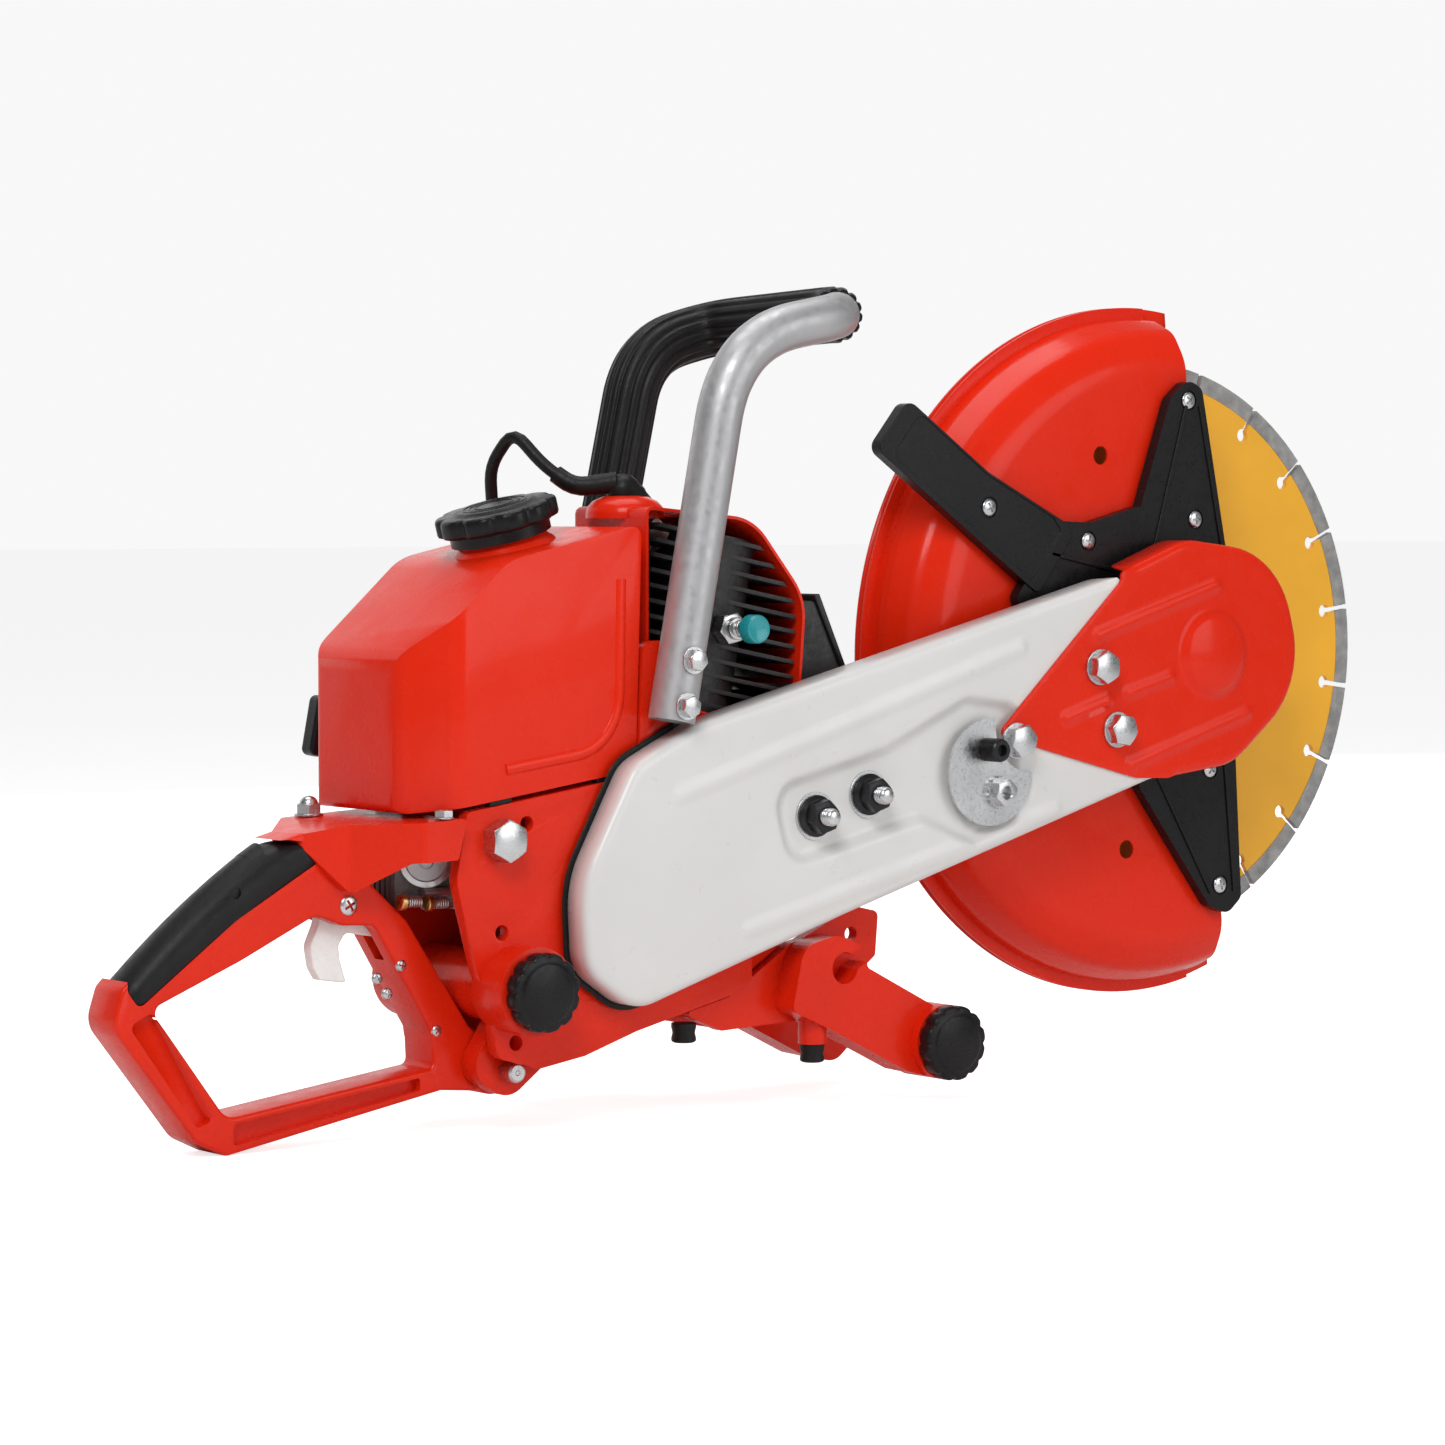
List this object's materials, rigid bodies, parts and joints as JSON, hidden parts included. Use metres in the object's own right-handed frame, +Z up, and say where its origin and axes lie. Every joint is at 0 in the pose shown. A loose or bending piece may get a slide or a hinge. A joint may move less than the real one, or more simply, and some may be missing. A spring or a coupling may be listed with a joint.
{
  "type": "rescue saw",
  "caption": "Petrol rescue saw: belt-driven segmented blade on a forward arm, swinging half-round guard, trigger handle, tubular front handle and pull starter.",
  "frame": {"origin": "on the floor plane, below the centre of the overall box", "axes": "+X towards the blade, +Y towards the starter side (the belt side is -Y), +Z up"},
  "size_m": [0.8869, 0.186, 0.4631],
  "materials": {
    "blade_paint": "satin paint",
    "blade_segment": "rough sintered metal",
    "steel": "machined",
    "bearing_steel": "ground",
    "dark_steel": "turned, dark",
    "zinc": "bright zinc plate",
    "black_steel": "blackened steel",
    "red_paint": "gloss",
    "red_cast": "gloss over casting grain",
    "white_shell": "satin off-white",
    "black_plastic": "satin",
    "rubber": "matt",
    "rubber_grip": "matt, ribbed",
    "aluminium": "as cast",
    "black_fins": "heat-resistant matt black",
    "ceramic": "glazed",
    "teal_plastic": "gloss",
    "filter_felt": "felt",
    "white_plastic": "satin",
    "clear_plastic": "translucent white",
    "satin_tube": "satin anodised"
  },
  "bodies": {
    "machine": {"spindle_bearings": "bearing_steel", "cutting_arm": "red_paint", "belt_guard": "white_shell", "belt_guard_seal": "rubber", "end_cover": "red_paint", "arm_bolts": "zinc", "arm_studs": "zinc", "stud_nuts": "black_steel", "tensioner_screw": "black_steel", "drive_belt": "rubber", "crankcase": "red_cast", "crank_throw": "steel", "main_bearings": "bearing_steel", "connecting_rod": "steel", "piston": "aluminium", "piston_rings": "steel", "engine_cylinder": "black_fins", "cylinder_shroud": "red_paint", "spark_plug": "ceramic", "plug_lead": "rubber", "decompression_valve": "zinc", "muffler": "black_fins", "muffler_shield": "black_steel", "carburettor": "aluminium", "intake_boot": "rubber", "air_filter": "filter_felt", "ignition_coil": "black_plastic", "starter_housing": "red_paint", "fuel_tank": "red_paint", "rear_handle": "red_paint", "handle_grip": "rubber_grip", "handle_hardware": "zinc", "front_frame": "red_cast", "front_handle_tube": "satin_tube", "front_handle_grip": "rubber_grip", "rubber_mounts": "rubber"},
    "blade": {"blade_core": "blade_paint", "blade_segments": "blade_segment", "spindle": "steel", "driven_pulley": "dark_steel", "flange_washers": "steel", "spindle_nuts": "zinc"},
    "drum": {"clutch_drum": "dark_steel"},
    "engine_rotor": {"crank_stubs": "steel", "clutch_hub": "dark_steel", "flywheel": "aluminium"},
    "guard": {"blade_guard": "red_paint", "guard_back_shell": "red_paint", "guard_bracket": "black_plastic", "guard_screws": "zinc"},
    "trigger": {"trigger": "clear_plastic"},
    "throttle": {"throttle_lever": "zinc"},
    "cap_ring": {"tank_cap_seal": "rubber"},
    "filler_cap": {"tank_cap": "black_plastic"},
    "rear_cap": {"rear_star_cap": "black_plastic"},
    "front_cap": {"front_star_cap": "black_plastic"},
    "decompression_push": {"decompression_button": "teal_plastic"},
    "belt_tensioner": {"tensioner_plate": "zinc"},
    "reel": {"starter_reel": "white_plastic"},
    "starter_pull": {"starter_grip": "black_plastic"}
  },
  "joints": [
    {"name": "blade_spin", "type": "hinge", "parent": "machine", "child": "blade", "pos_m": [0.2735, -0.011, 0.252], "axis": [0, 1, 0], "continuous": true},
    {"name": "drum_spin", "type": "hinge", "parent": "machine", "child": "drum", "pos_m": [-0.0905, -0.011, 0.152], "axis": [0, 1, 0], "continuous": true},
    {"name": "crank_spin", "type": "hinge", "parent": "machine", "child": "engine_rotor", "pos_m": [-0.0905, -0.011, 0.152], "axis": [0, 1, 0], "continuous": true},
    {"name": "guard_swing", "type": "hinge", "parent": "machine", "child": "guard", "pos_m": [0.2735, -0.011, 0.252], "axis": [0, 1, 0], "range_deg": [-25, 50]},
    {"name": "trigger_pull", "type": "hinge", "parent": "machine", "child": "trigger", "pos_m": [-0.2972, -0.011, 0.1277], "axis": [0, 1, 0], "range_deg": [0, 15]},
    {"name": "throttle_turn", "type": "hinge", "parent": "machine", "child": "throttle", "pos_m": [-0.2105, -0.011, 0.128], "axis": [0, 1, 0], "range_deg": [0, 60]},
    {"name": "cap_turn", "type": "hinge", "parent": "cap_ring", "child": "filler_cap", "pos_m": [-0.1845, -0.005, 0.32], "axis": [-0.2588, 0, 0.9659], "range_deg": [0, 900]},
    {"name": "cap_lift", "type": "slide", "parent": "machine", "child": "cap_ring", "axis": [-0.2588, 0, 0.9659], "range_m": [0, 0.01]},
    {"name": "rear_cap_turn", "type": "hinge", "parent": "machine", "child": "rear_cap", "pos_m": [-0.2105, -0.011, 0.0804], "axis": [0, 1, 0], "range_deg": [0, 360]},
    {"name": "front_cap_turn", "type": "hinge", "parent": "machine", "child": "front_cap", "pos_m": [0.0714, -0.011, 0.034], "axis": [0, 1, 0], "range_deg": [0, 360]},
    {"name": "decompression_press", "type": "slide", "parent": "machine", "child": "decompression_push", "axis": [0, 1, 0], "range_m": [0, 0.004]},
    {"name": "tensioner_turn", "type": "hinge", "parent": "machine", "child": "belt_tensioner", "pos_m": [0.09892, -0.011, 0.20052], "axis": [0, 1, 0], "range_deg": [-20, 5]},
    {"name": "starter_pull", "type": "slide", "parent": "machine", "child": "starter_pull", "axis": [-0.9816, 0, 0.1908], "range_m": [0, 0.06]},
    {"name": "reel_spin", "type": "hinge", "parent": "machine", "child": "reel", "pos_m": [-0.0905, -0.011, 0.152], "axis": [0, 1, 0], "range_deg": [-101, 1]}
  ],
  "couplings": [
    {"joint": "drum_spin", "follows": "blade_spin", "ratio": 1.1053},
    {"joint": "throttle_turn", "follows": "trigger_pull", "ratio": 4},
    {"joint": "cap_lift", "follows": "cap_turn", "m_per_rad": 0.00063662},
    {"joint": "reel_spin", "follows": "starter_pull", "rad_per_m": -29.24}
  ]
}
